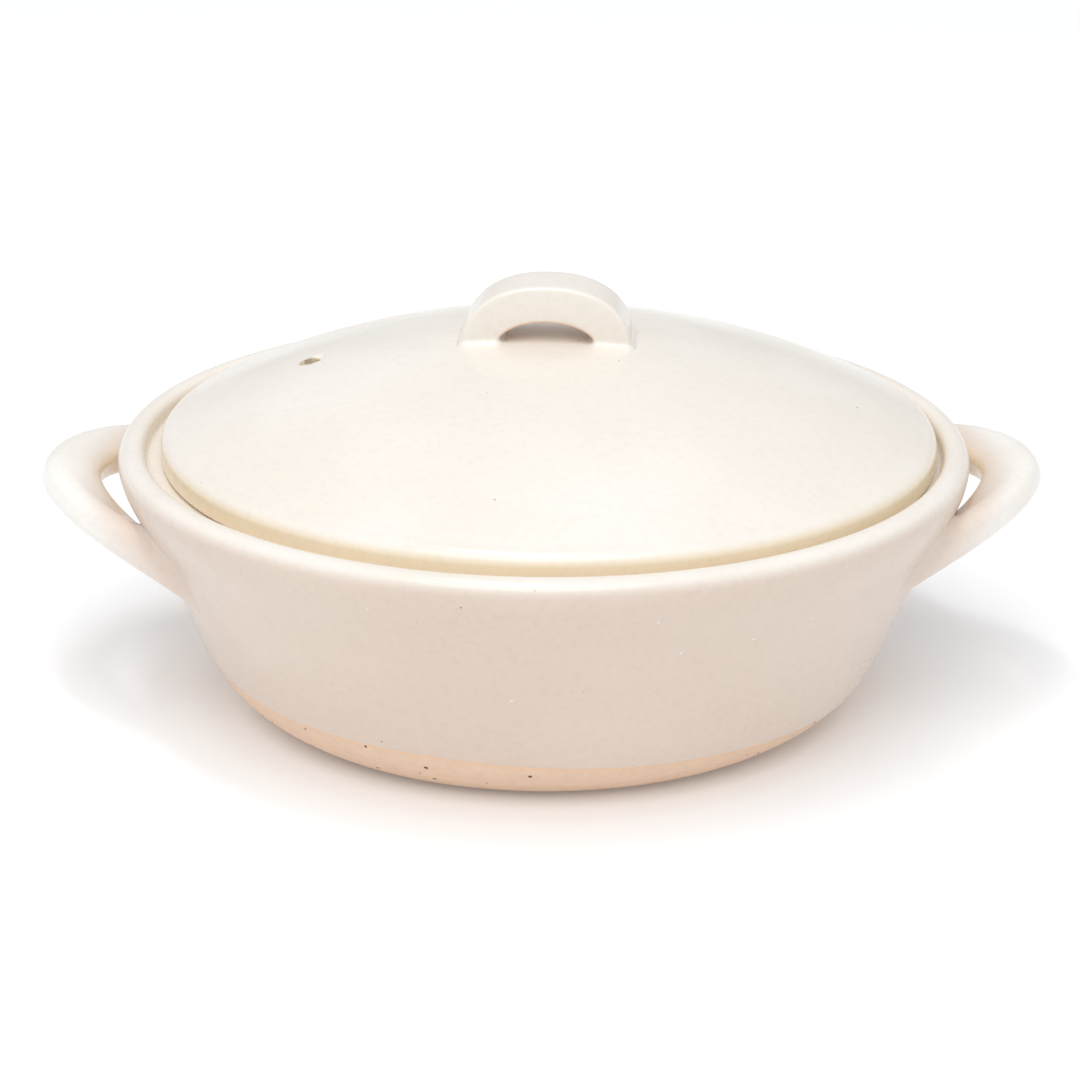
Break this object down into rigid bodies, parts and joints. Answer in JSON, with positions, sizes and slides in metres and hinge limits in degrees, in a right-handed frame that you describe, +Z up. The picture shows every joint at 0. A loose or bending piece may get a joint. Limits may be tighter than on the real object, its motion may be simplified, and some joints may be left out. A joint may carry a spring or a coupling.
{
  "type": "covered casserole dish",
  "caption": "Round stoneware casserole: flared bowl with looped side handles and a domed, vented lid with a strap handle that lifts out of its recessed seat.",
  "frame": {"origin": "on the ground, under the centre of the round bowl", "axes": "+X through the two side handles, towards the right one; +Y to the back; +Z up, the way the lid lifts"},
  "size_m": [0.3011, 0.255, 0.1279],
  "materials": {
    "bowl_glaze": "satin cream glaze over a pale clay, bare clay at the foot",
    "handle_glaze": "satin cream glaze",
    "lid_glaze": "satin cream glaze"
  },
  "bodies": {
    "pot": {"bowl": "bowl_glaze", "side_handle_left": "handle_glaze", "side_handle_right": "handle_glaze"},
    "cover": {"lid": "lid_glaze", "lid_handle": "lid_glaze"}
  },
  "joints": [
    {"name": "lid_lift", "type": "slide", "parent": "pot", "child": "cover", "axis": [0, 0, 1], "range_m": [0, 0.1]}
  ]
}
